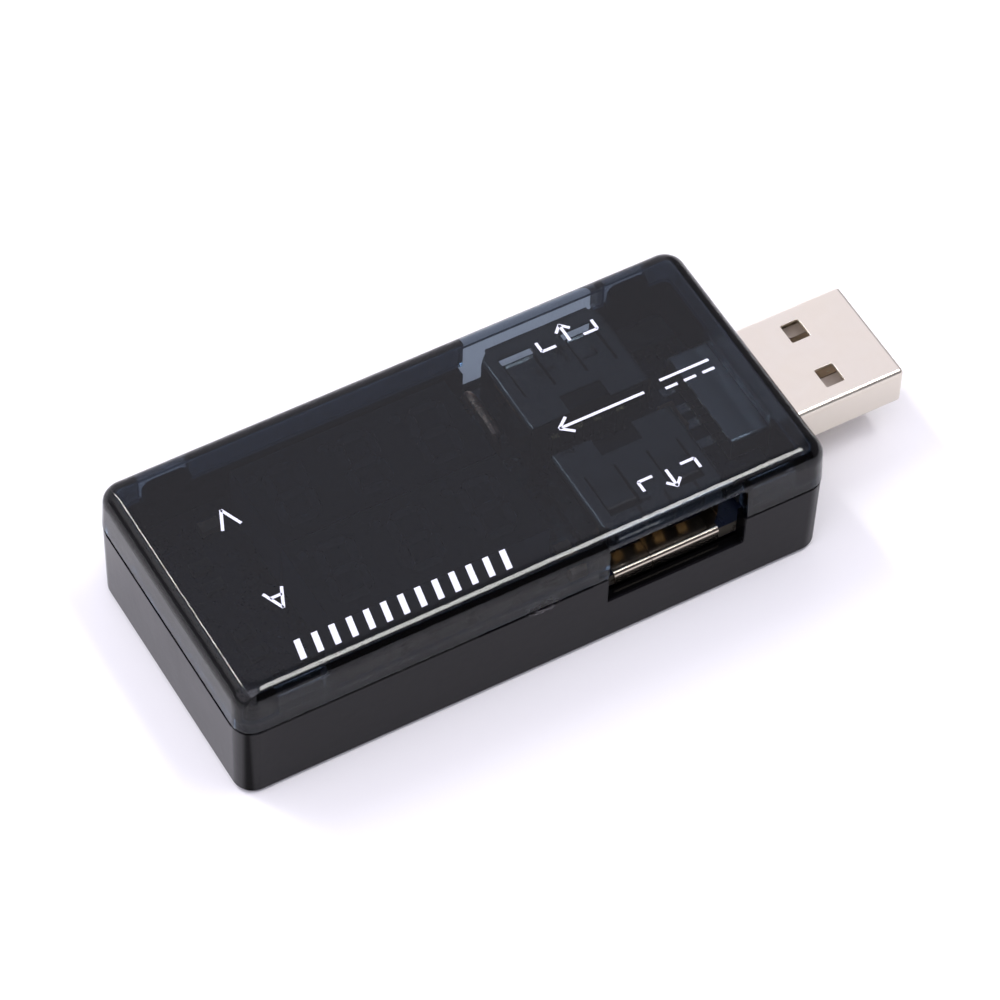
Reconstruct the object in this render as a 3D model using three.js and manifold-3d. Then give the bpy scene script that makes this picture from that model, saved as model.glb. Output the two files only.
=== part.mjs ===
// USB power meter: a pass-through volt and ammeter with one USB-A plug, two USB-A sockets
// and two three-digit LED displays, in a two-part snap case.
// Millimetres. Origin at the centre of the case's underside, +X towards the plug, +Z up.
// Every piece of the bench breakdown is its own closed solid in its own named mesh.
import * as THREE from 'three';
import { mergeVertices } from 'three/addons/utils/BufferGeometryUtils.js';
import Module from 'manifold-3d';

const wasm = await Module();
wasm.setup();

// ---------------------------------------------------------------- driving dimensions
// case
const CASE_L = 61.9;          // along X
const CASE_W = 28.9;          // along Y
const CASE_H = 14.6;          // along Z
const SEAM_LOW = 9.3;         // rim of the bottom shell
const SEAM_HIGH = 9.55;       // rim of the cover
const CORNER_R = 2.0;         // vertical corners
const TOP_EDGE_R = 1.8;       // rounding of the cover's top edge
const BOTTOM_EDGE_R = 0.65;   // rounding of the underside's edge
const DRAFT = 0.10;           // how far each moulding narrows away from the parting line
const PROUD = 0.05;           // the cover stands this much proud of the bottom shell
const WALL = 1.5;
const FLOOR_T = 1.4;
const TOP_T = 0.86;            // roof of the cover, thinner than the headers over the socket openings
const LIP_T = 0.68;           // locating lip of the bottom shell
const LIP_H = 0.9;
const TABS_X = [[-26.8, -21.9], [22.7, 27.0]];   // locating tabs along each long wall
const TAB_TOP = 13.2;
const TAB_R = 1.1;
// socket openings in the long sides, cut across the seam
const PORT_X = 14.5;
const PORT_W = 14.65;
const PORT_Z0 = 5.8;
const PORT_Z1 = 13.4;
const PORT_STEP = 0.35;       // deeper sill on the inner half of the wall
// USB-A plug
const PLUG_W = 12.0;
const PLUG_H = 4.5;
const PLUG_T = 0.3;
const PLUG_TIP_X = 44.45;
const PLUG_REAR_X = 25.5;
const PLUG_Z = 6.65;
const PLUG_R = 0.48;
const HOLE_X = 37.96, HOLE_Y = 3.1, HOLE_LX = 2.0, HOLE_LY = 2.35;
// USB-A sockets
const SOCK_W = 13.1;
const SOCK_Z0 = 7.0;
const SOCK_Z1 = 12.72;
const SOCK_T = 0.3;
const SOCK_Y0 = 1.85;         // rear, distance from the middle plane
const SOCK_Y1 = 12.2;         // mouth
const TONGUE_W = 11.1, TONGUE_Z0 = 9.75, TONGUE_Z1 = 11.6, TONGUE_TIP = 10.45;
const PIN_OFFSETS = [-3.5, -1.0, 1.0, 3.5];
// circuit board
const PCB_Z0 = 5.3, PCB_Z1 = 6.9;
const PCB_X0 = -28.7, PCB_X1 = 28.5, PCB_HALF_W = 12.5;
// LED displays
const DISP_X = -7.6, DISP_L = 22.6, DISP_W = 9.8, DISP_TOP = 13.1;
const VOLT_Y = 5.55, AMP_Y = -4.4;
const DIGIT_H = 7.1, DIGIT_W = 4.1, DIGIT_PITCH = 7.5, SEG_W = 0.9, SLANT = 0.14;

// ---------------------------------------------------------------- solid helpers
function toSolid(geometry) {
  const g = geometry.clone();
  g.deleteAttribute('normal');
  if (g.getAttribute('uv')) g.deleteAttribute('uv');
  const m = mergeVertices(g, 1e-5);
  const mesh = new wasm.Mesh({
    numProp: 3,
    vertProperties: new Float32Array(m.getAttribute('position').array),
    triVerts: new Uint32Array(m.getIndex().array),
  });
  return new wasm.Manifold(mesh);
}
function toGeometry(solid) {
  const mesh = solid.getMesh();
  const n = mesh.numProp;
  const count = mesh.vertProperties.length / n;
  const pos = new Float32Array(count * 3);
  for (let i = 0; i < count; i++) {
    pos[i * 3] = mesh.vertProperties[i * n];
    pos[i * 3 + 1] = mesh.vertProperties[i * n + 1];
    pos[i * 3 + 2] = mesh.vertProperties[i * n + 2];
  }
  const g = new THREE.BufferGeometry();
  g.setAttribute('position', new THREE.BufferAttribute(pos, 3));
  g.setIndex(new THREE.BufferAttribute(new Uint32Array(mesh.triVerts), 1));
  g.computeVertexNormals();
  return g;
}
function box(x0, x1, y0, y1, z0, z1) {
  const g = new THREE.BoxGeometry(x1 - x0, y1 - y0, z1 - z0);
  g.translate((x0 + x1) / 2, (y0 + y1) / 2, (z0 + z1) / 2);
  return toSolid(g);
}
const union = (...s) => s.reduce((a, b) => a.add(b));
const minus = (a, ...s) => s.reduce((p, b) => p.subtract(b), a);

// points of a rounded rectangle centred on (cx, cy)
function roundedOutline(cx, cy, hx, hy, r, n) {
  const pts = [];
  const corners = [[hx - r, hy - r, 0], [-(hx - r), hy - r, 90], [-(hx - r), -(hy - r), 180], [hx - r, -(hy - r), 270]];
  for (const [x, y, a0] of corners) {
    for (let i = 0; i <= n; i++) {
      const a = THREE.MathUtils.degToRad(a0 + 90 * i / n);
      pts.push([cx + x + r * Math.cos(a), cy + y + r * Math.sin(a)]);
    }
  }
  return pts;
}
// a closed solid through a stack of rounded rectangles: rings of {z, hx, hy, r}
function loft(rings, n = 6, cx = 0, cy = 0) {
  const pos = [], idx = [];
  const m = 4 * (n + 1);
  for (const q of rings) for (const [x, y] of roundedOutline(cx, cy, q.hx, q.hy, q.r, n)) pos.push(x, y, q.z);
  for (let k = 0; k + 1 < rings.length; k++) {
    for (let i = 0; i < m; i++) {
      const a = k * m + i, b = k * m + (i + 1) % m, c = a + m, d = b + m;
      idx.push(a, b, d, a, d, c);
    }
  }
  const cb = pos.length / 3; pos.push(cx, cy, rings[0].z);
  const ct = cb + 1; pos.push(cx, cy, rings[rings.length - 1].z);
  const top = (rings.length - 1) * m;
  for (let i = 0; i < m; i++) {
    idx.push(cb, (i + 1) % m, i);
    idx.push(ct, top + i, top + (i + 1) % m);
  }
  const g = new THREE.BufferGeometry();
  g.setAttribute('position', new THREE.Float32BufferAttribute(pos, 3));
  g.setIndex(idx);
  return toSolid(g);
}
// straight rounded block between two heights
function block(hx, hy, r, z0, z1, n = 6, cx = 0, cy = 0) {
  return loft([{ z: z0, hx, hy, r }, { z: z1, hx, hy, r }], n, cx, cy);
}
// prism of a closed outline in X-Y, between two heights
function prismZ(pts, z0, z1) {
  const s = new THREE.Shape(pts.map(p => new THREE.Vector2(p[0], p[1])));
  const g = new THREE.ExtrudeGeometry(s, { depth: z1 - z0, bevelEnabled: false, curveSegments: 6 });
  g.translate(0, 0, z0);
  return toSolid(g);
}
// prism of a closed outline given as (x, z), between two y values
function prismY(pts, y0, y1) {
  const s = new THREE.Shape(pts.map(p => new THREE.Vector2(p[0], p[1])));
  const g = new THREE.ExtrudeGeometry(s, { depth: y1 - y0, bevelEnabled: false });
  g.applyMatrix4(new THREE.Matrix4().set(1, 0, 0, 0, 0, 0, -1, y1, 0, 1, 0, 0, 0, 0, 0, 1));
  return toSolid(g);
}
// prism of a closed outline given as (y, z), between two x values
function prismX(pts, x0, x1) {
  const s = new THREE.Shape(pts.map(p => new THREE.Vector2(p[0], p[1])));
  const g = new THREE.ExtrudeGeometry(s, { depth: x1 - x0, bevelEnabled: false });
  g.applyMatrix4(new THREE.Matrix4().set(0, 0, 1, x0, 1, 0, 0, 0, 0, 1, 0, 0, 0, 0, 0, 1));
  return toSolid(g);
}
// outline thickened from a centre line in one plane
function stripOutline(line, t) {
  const left = [], right = [];
  for (let i = 0; i < line.length; i++) {
    const p = line[i], a = line[Math.max(i - 1, 0)], b = line[Math.min(i + 1, line.length - 1)];
    let dx = b[0] - a[0], dy = b[1] - a[1];
    const l = Math.hypot(dx, dy); dx /= l; dy /= l;
    left.push([p[0] - dy * t / 2, p[1] + dx * t / 2]);
    right.push([p[0] + dy * t / 2, p[1] - dx * t / 2]);
  }
  return right.concat(left.reverse());
}
const mirrorY = s => s.mirror([0, 1, 0]);

// ---------------------------------------------------------------- materials
const mat = (color, roughness, metalness) => new THREE.MeshStandardMaterial({ color, roughness, metalness });
const SMOKED = () => mat(0x2b2d34, 0.12, 0);
const BLACK_GLOSS = () => mat(0x1c1a1e, 0.25, 0);
const BLACK_MATTE = () => mat(0x151516, 0.5, 0);
const BUFF_MATTE = () => mat(0xbcac9f, 0.5, 0);
const NICKEL = () => mat(0xd8cec6, 0.25, 1);
const GOLD = () => mat(0xc79a4a, 0.25, 1);
const BOARD_BLUE = () => mat(0x14234f, 0.4, 0);
const DISPLAY_BODY = () => mat(0x8a8d92, 0.5, 0);
const SEGMENT = () => mat(0x55575c, 0.35, 0);
const CHIP = () => mat(0x18181a, 0.55, 0);
const TIN = () => mat(0xb9bbbd, 0.35, 1);
const CERAMIC = () => mat(0xa98a63, 0.5, 0);
const ALLOY = () => mat(0xb87f4e, 0.3, 1);
const RESISTOR = () => mat(0x202022, 0.45, 0);

const meter = new THREE.Group();
meter.name = 'usb_power_meter';
function part(name, shape, material) {
  const geometry = shape.isBufferGeometry ? shape : toGeometry(shape);
  const mesh = new THREE.Mesh(geometry, material);
  mesh.name = name;
  meter.add(mesh);
  return mesh;
}

// ---------------------------------------------------------------- bottom shell
const HX = CASE_L / 2, HY = CASE_W / 2;
function arc(r, n, f) {
  const out = [];
  for (let i = 0; i <= n; i++) out.push(f(Math.PI / 2 * i / n, r));
  return out;
}
function portCuts(side) {
  // a plain opening through the wall, its sill stepped down on the inner half
  const s = side;
  const cut = (x0, x1, a, b, z0, z1) => box(x0, x1, Math.min(s * a, s * b), Math.max(s * a, s * b), z0, z1);
  return [
    cut(PORT_X - PORT_W / 2, PORT_X + PORT_W / 2, HY - WALL - 0.3, HY + 1, PORT_Z0, PORT_Z1),
    cut(PORT_X - PORT_W / 2, PORT_X + PORT_W / 2, HY - WALL - 0.3, HY - 0.75, PORT_Z0 - PORT_STEP, PORT_Z0 + 1),
  ];
}
{
  const hx = HX - PROUD, hy = HY - PROUD;
  const rings = arc(BOTTOM_EDGE_R, 5, (a, r) => ({
    z: r * (1 - Math.cos(a)), hx: hx - DRAFT - r * (1 - Math.sin(a)), hy: hy - DRAFT - r * (1 - Math.sin(a)),
    r: CORNER_R - 0.5 * r * (1 - Math.sin(a)),
  }));
  rings.push({ z: SEAM_LOW, hx, hy, r: CORNER_R });
  let s = loft(rings, 7);
  const lip = block(HX - WALL + LIP_T, HY - WALL + LIP_T, 1.3, SEAM_LOW - 0.5, SEAM_LOW + LIP_H, 7);
  s = s.add(lip);
  s = s.subtract(block(HX - WALL, HY - WALL, 0.8, FLOOR_T, SEAM_LOW + LIP_H + 1, 5));
  // posts that carry the circuit board, and a gusset rib under each socket
  for (const [x, y] of [[-25.4, 10.2], [-25.4, -10.2], [-3, 11.4], [-3, -11.4], [26.6, 10.2], [26.6, -10.2]]) {
    s = s.add(block(1.2, 1.2, 0.35, FLOOR_T - 0.4, PCB_Z0 - 0.03, 2, x, y));
  }
  for (const x of [-14, 6.2]) s = s.add(box(x - 0.5, x + 0.5, -9, 9, FLOOR_T - 0.4, PCB_Z0 - 2.1));
  // saddle under the plug, just inside the front wall
  s = s.add(box(28.4, 29.5, -6.6, 6.6, FLOOR_T - 0.4, PLUG_Z - PLUG_H / 2 - 0.05));
  // front wall: notch for the plug, open towards the cover
  s = s.subtract(box(HX - WALL - 0.8, HX + 1, -PLUG_W / 2 - 0.15, PLUG_W / 2 + 0.15, PLUG_Z - PLUG_H / 2 - 0.05, 12));
  for (const side of [-1, 1]) s = minus(s, ...portCuts(side));
  // tall locating tabs with rounded shoulders, standing up inside the cover's long walls
  for (const side of [-1, 1]) {
    for (const [x0, x1] of TABS_X) {
      const pts = [[x0, SEAM_LOW - 1.5], [x1, SEAM_LOW - 1.5]];
      for (let i = 0; i <= 4; i++) pts.push([x1 - TAB_R + TAB_R * Math.cos(i * Math.PI / 8), TAB_TOP - TAB_R + TAB_R * Math.sin(i * Math.PI / 8)]);
      for (let i = 4; i >= 0; i--) pts.push([x0 + TAB_R - TAB_R * Math.cos(i * Math.PI / 8), TAB_TOP - TAB_R + TAB_R * Math.sin(i * Math.PI / 8)]);
      const a = HY - WALL - 0.7, b = HY - WALL;
      s = s.add(prismY(pts, side > 0 ? a : -b, side > 0 ? b : -a));
      s = s.add(box(x0, x1, side > 0 ? a : -b - 0.3, side > 0 ? b + 0.3 : -a, SEAM_LOW - 1.5, SEAM_LOW + LIP_H));
    }
  }
  // the lip stands back from the ends of the socket openings
  for (const side of [-1, 1]) {
    const a = side * (HY - WALL - 0.2), b = side * (HY - WALL + LIP_T + 0.1);
    s = s.subtract(box(PORT_X - PORT_W / 2 - 0.8, PORT_X + PORT_W / 2 + 0.8, Math.min(a, b), Math.max(a, b), SEAM_LOW, 12));
  }
  part('bottom_shell', s, BLACK_GLOSS());
}

// ---------------------------------------------------------------- cover
{
  const rings = [
    { z: SEAM_HIGH, hx: HX, hy: HY, r: CORNER_R },
    ...arc(TOP_EDGE_R, 7, (a, r) => ({
      z: CASE_H - r * (1 - Math.sin(a)), hx: HX - DRAFT - r * (1 - Math.cos(a)), hy: HY - DRAFT - r * (1 - Math.cos(a)),
      r: CORNER_R - 0.5 * r * (1 - Math.cos(a)),
    })),
  ];
  let s = loft(rings, 7);
  const TOP_IN = CASE_H - TOP_T;
  s = s.subtract(block(HX - WALL + 0.15, HY - WALL + 0.15, 0.8, SEAM_HIGH - 1, TOP_IN, 5));
  s = s.subtract(block(HX - WALL + LIP_T + 0.17, HY - WALL + LIP_T + 0.17, 1.45, SEAM_HIGH - 1, SEAM_LOW + LIP_H + 0.25, 7));
  // tab that closes the notch above the plug
  s = s.add(box(HX - WALL + 0.05, HX - 0.1, -PLUG_W / 2 + 0.05, PLUG_W / 2 - 0.05, PLUG_Z + PLUG_H / 2 + 0.1, SEAM_HIGH + 1.2));
  for (const side of [-1, 1]) s = minus(s, ...portCuts(side));
  // shallow pockets in the long walls, one behind each locating tab
  for (const side of [-1, 1]) {
    for (const [x0, x1] of TABS_X) {
      const a = side * (HY - WALL), b = side * (HY - 0.55);
      s = s.subtract(box(x0 - 0.15, x1 + 0.15, Math.min(a, b), Math.max(a, b), SEAM_LOW + LIP_H, TAB_TOP + 0.1));
    }
  }
  part('top_cover', s, SMOKED());
}

// ---------------------------------------------------------------- circuit board
const TAIL_Y = SOCK_Y0 + 0.15;
{
  let s = box(PCB_X0, PCB_X1, -PCB_HALF_W, PCB_HALF_W, PCB_Z0, PCB_Z1);
  s = s.subtract(box(PLUG_REAR_X - 0.35, PCB_X1 + 1, -PLUG_W / 2 - 0.25, PLUG_W / 2 + 0.25, PCB_Z0 - 1, PCB_Z1 + 1));
  for (const side of [-1, 1]) {
    for (const o of PIN_OFFSETS) {
      s = s.subtract(box(PORT_X + o - 0.65, PORT_X + o + 0.65, side * TAIL_Y - 0.35, side * TAIL_Y + 0.35, PCB_Z0 - 1, PCB_Z1 + 1));
    }
    for (const e of [-1, 1]) {
      const x = PORT_X + e * (SOCK_W / 2 - SOCK_T / 2);
      s = s.subtract(box(x - 0.4, x + 0.4, side * 7.6 - 1.1, side * 7.6 + 1.1, PCB_Z0 - 1, PCB_Z1 + 1));
    }
  }
  part('circuit_board', s, BOARD_BLUE());
}

// ---------------------------------------------------------------- USB-A plug
{
  const z0 = PLUG_Z - PLUG_H / 2, z1 = PLUG_Z + PLUG_H / 2;
  const ring = (hy, hz, r) => roundedOutline(0, PLUG_Z, hy, hz, r, 4);
  let s = prismX(ring(PLUG_W / 2, PLUG_H / 2, PLUG_R), PLUG_REAR_X, PLUG_TIP_X);
  s = s.subtract(prismX(ring(PLUG_W / 2 - PLUG_T, PLUG_H / 2 - PLUG_T, PLUG_R - PLUG_T), PLUG_REAR_X - 1, PLUG_TIP_X + 1));
  for (const y of [-HOLE_Y, HOLE_Y]) {
    s = s.subtract(box(HOLE_X - HOLE_LX / 2, HOLE_X + HOLE_LX / 2, y - HOLE_LY / 2, y + HOLE_LY / 2, z0 - 1, z1 + 1));
  }
  // butt seam of the folded sheet along the underside
  s = s.subtract(box(PLUG_REAR_X - 1, PLUG_TIP_X + 1, -0.04, 0.04, z0 - 1, z0 + PLUG_T + 0.1));
  part('plug_shell', s, NICKEL());

  const g = 0.04;
  const inW = PLUG_W / 2 - PLUG_T - g;
  let ins = box(27.0, 43.3, -inW + 0.25, inW - 0.25, z0 + PLUG_T + g, PLUG_Z - 0.05);
  ins = ins.add(box(26.2, 30.6, -inW + 0.25, inW - 0.25, z0 + PLUG_T + g, z1 - PLUG_T - g));
  for (const o of PIN_OFFSETS) {
    ins = ins.subtract(box(25, 31, o - 0.62, o + 0.62, PLUG_Z - 0.05, PLUG_Z + 0.75));
    ins = ins.subtract(box(30, 44, o - 0.6, o + 0.6, PLUG_Z - 0.3, PLUG_Z + 0.5));
  }
  part('plug_insulator', ins, BUFF_MATTE());

  PIN_OFFSETS.forEach((o, i) => {
    const tip = Math.abs(o) > 2 ? 43.0 : 42.0;
    const line = [[23.4, 7.05], [25.4, 7.05], [26.0, 6.86], [30.7, 6.86], [31.3, 6.55], [tip, 6.55]];
    part(`plug_contact_${i + 1}`, prismY(stripOutline(line, 0.18), o - 0.5, o + 0.5), GOLD());
  });
}

// ---------------------------------------------------------------- USB-A sockets
function socket(tag, side) {
  const flip = s => (side > 0 ? mirrorY(s) : s);
  // built for the -Y side, mouth facing -Y, and mirrored for the other
  const x0 = PORT_X - SOCK_W / 2, x1 = PORT_X + SOCK_W / 2;
  const yM = -SOCK_Y1, yR = -SOCK_Y0;
  const zc = (SOCK_Z0 + SOCK_Z1) / 2, hz = (SOCK_Z1 - SOCK_Z0) / 2;
  const outline = (e, r) => roundedOutline(PORT_X, zc, SOCK_W / 2 - e, hz - e, r, 3);
  let s = prismY(outline(0, 0.5), yM, yR);
  s = s.subtract(prismY(outline(SOCK_T, 0.25), yM - 1, yR + 1));
  // corner reliefs at the mouth
  for (const e of [-1, 1]) {
    const q = [[6.6, -10.95], [7.6, -10.95], [7.6, -13.5], [5.5, -13.5], [5.5, -11.95]].map(([a, b]) => [PORT_X + e * a, b]);
    s = s.subtract(prismZ(e > 0 ? q.reverse() : q, SOCK_Z0 - 1, SOCK_Z1 + 1));
  }
  // lower lip turned down in front of the board's edge
  const lip = [[yM + 0.2, SOCK_Z0 + 0.15], [-12.42, SOCK_Z0 + 0.13], [-12.66, SOCK_Z0 - 0.05], [-12.76, SOCK_Z0 - 0.3], [-12.88, SOCK_Z0 - 1.15]];
  s = s.add(prismX(stripOutline(lip, SOCK_T - 0.04), PORT_X - 5.7, PORT_X + 5.5));
  // two spring tongues in the top wall and two in the bottom wall, each freed by a U-shaped slot
  for (const c of [-3.33, 3.33]) {
    for (const [za, zb] of [[SOCK_Z1 - 0.5, SOCK_Z1 + 0.2], [SOCK_Z0 - 0.2, SOCK_Z0 + 0.5]]) {
      const x = PORT_X + c;
      s = s.subtract(box(x - 1.72, x - 1.47, -10.55, -5.4, za, zb));
      s = s.subtract(box(x + 1.47, x + 1.72, -10.55, -5.4, za, zb));
      s = s.subtract(box(x - 1.72, x + 1.72, -10.55, -9.7, za, zb));
    }
  }
  // notch at the rear of the top wall, open floor at the rear, butt seam
  s = s.subtract(box(PORT_X - 2.2, PORT_X + 2.2, -4.0, yR + 1, SOCK_Z1 - 1, SOCK_Z1 + 1));
  s = s.subtract(box(x0 + 0.6, x1 - 0.6, -4.6, yR + 1, SOCK_Z0 - 1, SOCK_Z0 + 0.5));
  s = s.subtract(box(PORT_X - 1.6, PORT_X - 1.52, -14, -4, SOCK_Z0 - 1.5, SOCK_Z0 + 0.5));
  // legs through the board
  for (const e of [-1, 1]) {
    const x = PORT_X + e * (SOCK_W / 2 - SOCK_T / 2);
    s = s.add(box(x - SOCK_T / 2, x + SOCK_T / 2, -8.4, -6.8, 4.7, SOCK_Z0 + 1));
  }
  part(`${tag}_shell`, flip(s), NICKEL());

  // insulator: rear block and the tongue that carries the contacts
  const g = 0.05;
  let ins = box(x0 + SOCK_T + g + 0.2, x1 - SOCK_T - g - 0.2, -5.0, -2.35, SOCK_Z0 + SOCK_T + g, SOCK_Z1 - SOCK_T - g);
  ins = ins.add(box(PORT_X - TONGUE_W / 2, PORT_X + TONGUE_W / 2, -TONGUE_TIP, -4.9, TONGUE_Z0, TONGUE_Z1));
  for (const o of PIN_OFFSETS) {
    ins = ins.subtract(box(PORT_X + o - 0.65, PORT_X + o + 0.65, -10.26, -1.5, 9.3, 10.1));
    ins = ins.subtract(box(PORT_X + o - 0.65, PORT_X + o + 0.65, -10.26, -5.0, 9.3, 10.75));
  }
  part(`${tag}_insulator`, flip(ins), BLACK_MATTE());

  PIN_OFFSETS.forEach((o, i) => {
    // free blade: bowed down to meet the plug, tip tucked into its groove
    const blade = [[-5.45, 9.62], [-6.4, 9.52], [-7.4, 9.3], [-8.3, 9.06], [-8.7, 9.0], [-9.1, 9.1], [-9.85, 9.75], [-10.05, 9.9]];
    part(`${tag}_contact_${i + 1}`, flip(prismX(stripOutline(blade, 0.2), PORT_X + o - 0.5, PORT_X + o + 0.5)), GOLD());
    // fixed tail: through the rear block and down into the board
    const tail = [[-5.05, 9.66], [-2.3, 9.66], [-2.02, 9.5], [-2.0, 9.2], [-2.0, 4.6]];
    part(`${tag}_tail_${i + 1}`, flip(prismX(stripOutline(tail, 0.2), PORT_X + o - 0.4, PORT_X + o + 0.4)), GOLD());
  });
}
socket('socket_a', -1);
socket('socket_b', 1);

// ---------------------------------------------------------------- LED displays
function segments() {
  // outlines of the seven bars and the point of one digit, centred on the digit
  const w = DIGIT_W / 2 - SEG_W / 2, h = DIGIT_H / 2 - SEG_W / 2, t = SEG_W / 2, q = 0.1;
  const H = (y) => [[-w + q, y], [-w + q + t, y + t], [w - q - t, y + t], [w - q, y], [w - q - t, y - t], [-w + q + t, y - t]];
  const V = (x, a, b) => [[x, a + q], [x + t, a + q + t], [x + t, b - q - t], [x, b - q], [x - t, b - q - t], [x - t, a + q + t]];
  const bars = [H(-h), H(0), H(h), V(-w, -h, 0), V(w, -h, 0), V(-w, 0, h), V(w, 0, h)];
  const dot = [];
  for (let i = 0; i < 10; i++) dot.push([w + 1.35 + 0.5 * Math.cos(i * Math.PI / 5), -h + 0.5 * Math.sin(i * Math.PI / 5)]);
  bars.push(dot);
  return bars;
}
function grow(pts, d) {
  const cx = pts.reduce((a, p) => a + p[0], 0) / pts.length, cy = pts.reduce((a, p) => a + p[1], 0) / pts.length;
  return pts.map(([x, y]) => {
    const vx = x - cx, vy = y - cy, l = Math.hypot(vx, vy);
    return [x + vx / l * d, y + vy / l * d];
  });
}
function display(tag, cy) {
  const x0 = DISP_X - DISP_L / 2, x1 = DISP_X + DISP_L / 2, y0 = cy - DISP_W / 2, y1 = cy + DISP_W / 2;
  const FACE = DISP_TOP - 0.9;
  let s = box(x0, x1, y0, y1, PCB_Z1 + 0.03, DISP_TOP);
  s = s.subtract(box(x0 + 0.8, x1 - 0.8, y0 + 0.8, y1 - 0.8, PCB_Z1 - 1, FACE));
  let d = box(x0 + 0.9, x1 - 0.9, y0 + 0.9, y1 - 0.9, 9.4, FACE - 0.05);
  // the display reads from the +Y side, so each digit is turned half round
  for (const k of [-1, 0, 1]) {
    for (const seg of segments()) {
      const place = pts => pts.map(([x, y]) => [DISP_X - (x + SLANT * y) - k * DIGIT_PITCH, cy - y]);
      s = s.subtract(prismZ(place(grow(seg, 0.06)), FACE - 0.5, DISP_TOP + 0.5));
      d = d.add(prismZ(place(seg), FACE - 0.2, DISP_TOP - 0.06));
    }
  }
  part(`${tag}_display_case`, s, DISPLAY_BODY());
  part(`${tag}_display_diffuser`, d, SEGMENT());
}
display('voltage', VOLT_Y);
display('current', AMP_Y);

// ---------------------------------------------------------------- electronics on the board
// gull-wing chip: body and leads, standing on the board's top (up = 1) or hanging under it (up = -1)
function chip(name, cx, cy, bodyX, bodyY, bodyH, pins, pitch, alongX, up) {
  const z0 = up > 0 ? PCB_Z1 + 0.03 : PCB_Z0 - 0.03;
  const zb = (a, b) => [Math.min(z0 + up * a, z0 + up * b), Math.max(z0 + up * a, z0 + up * b)];
  const [b0, b1] = zb(0.15, bodyH);
  let s = box(cx - bodyX / 2, cx + bodyX / 2, cy - bodyY / 2, cy + bodyY / 2, b0, b1);
  const n = pins / 2;
  for (let i = 0; i < n; i++) {
    const o = (i - (n - 1) / 2) * pitch;
    for (const e of [-1, 1]) {
      const half = alongX ? bodyY / 2 : bodyX / 2;
      const a = half - 0.1, b = half + 0.45, c = half + 1.0;
      const mid = bodyH * 0.5;
      const [k0, k1] = zb(mid - 0.1, mid + 0.1), [l0, l1] = zb(0, mid + 0.1), [m0, m1] = zb(0, 0.2);
      const bar = (u0, u1, z0_, z1_) => {
        const lo = Math.min(e * u0, e * u1), hi = Math.max(e * u0, e * u1);
        return alongX ? box(cx + o - 0.2, cx + o + 0.2, cy + lo, cy + hi, z0_, z1_)
          : box(cx + lo, cx + hi, cy + o - 0.2, cy + o + 0.2, z0_, z1_);
      };
      s = s.add(bar(a, b, k0, k1)).add(bar(b - 0.2, b, l0, l1)).add(bar(b - 0.2, c, m0, m1));
    }
  }
  part(name, s, CHIP());
}
chip('microcontroller', -6, 0, 9.9, 3.9, 1.6, 16, 1.27, true, -1);
chip('amplifier_chip', 25.2, 9.6, 4.9, 2.6, 1.5, 8, 1.27, true, 1);
chip('voltage_regulator', 25.4, -9.6, 4.4, 2.6, 1.4, 4, 2.6, true, 1);

// chip capacitor or resistor: body with end caps, on the board's top or underside
function chipPart(name, cx, cy, l, w, h, alongX, up, material) {
  const z0 = up > 0 ? PCB_Z1 + 0.03 : PCB_Z0 - 0.03;
  const zz = (a, b) => [Math.min(z0 + up * a, z0 + up * b), Math.max(z0 + up * a, z0 + up * b)];
  const put = (u0, u1, v, a, b) => {
    const [p, q] = zz(a, b);
    return alongX ? box(cx + u0, cx + u1, cy - v, cy + v, p, q) : box(cx - v, cx + v, cy + u0, cy + u1, p, q);
  };
  let s = put(-l / 2 + 0.1, l / 2 - 0.1, w / 2 - 0.06, 0.06, h - 0.06);
  s = s.add(put(-l / 2, -l / 2 + l * 0.2, w / 2, 0, h)).add(put(l / 2 - l * 0.2, l / 2, w / 2, 0, h));
  part(name, s, material);
}
chipPart('input_capacitor', 22.6, 0.0, 3.2, 1.6, 1.3, false, 1, CERAMIC());
chipPart('output_capacitor', 5.7, -9.6, 3.2, 1.6, 1.3, false, 1, CERAMIC());
chipPart('bypass_capacitor', -21.6, 9.6, 2.0, 1.25, 0.9, true, 1, CERAMIC());
chipPart('divider_resistor_1', -24.4, 6.0, 2.0, 1.25, 0.55, true, 1, RESISTOR());
chipPart('divider_resistor_2', -24.4, 3.4, 2.0, 1.25, 0.55, true, 1, RESISTOR());
chipPart('gain_resistor_1', -24.4, -2.6, 2.0, 1.25, 0.55, true, 1, RESISTOR());
chipPart('gain_resistor_2', -24.4, -5.2, 2.0, 1.25, 0.55, true, 1, RESISTOR());

// shunt: a bent bar of resistance alloy between the supply and the sockets
{
  class Hoop extends THREE.CurvePath {}
  const path = new Hoop();
  const x = 5.85, ya = 4.6, yb = 10.0, z0 = PCB_Z1 + 0.05, z1 = 10.4, r = 1.1;
  const V = (y, z) => new THREE.Vector3(x, y, z);
  path.add(new THREE.LineCurve3(V(ya, z0), V(ya, z1 - r)));
  path.add(new THREE.QuadraticBezierCurve3(V(ya, z1 - r), V(ya, z1), V(ya + r, z1)));
  path.add(new THREE.LineCurve3(V(ya + r, z1), V(yb - r, z1)));
  path.add(new THREE.QuadraticBezierCurve3(V(yb - r, z1), V(yb, z1), V(yb, z1 - r)));
  path.add(new THREE.LineCurve3(V(yb, z1 - r), V(yb, z0)));
  const section = new THREE.Shape();
  section.absarc(0, 0, 0.65, 0, Math.PI * 2, false);
  const g = new THREE.ExtrudeGeometry(section, { steps: 28, extrudePath: path, curveSegments: 5, bevelEnabled: false });
  part('shunt_resistor', toSolid(g), ALLOY());
}

export default meter;
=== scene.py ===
import math

import bmesh
import bpy
from mathutils import Matrix, Vector


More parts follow.
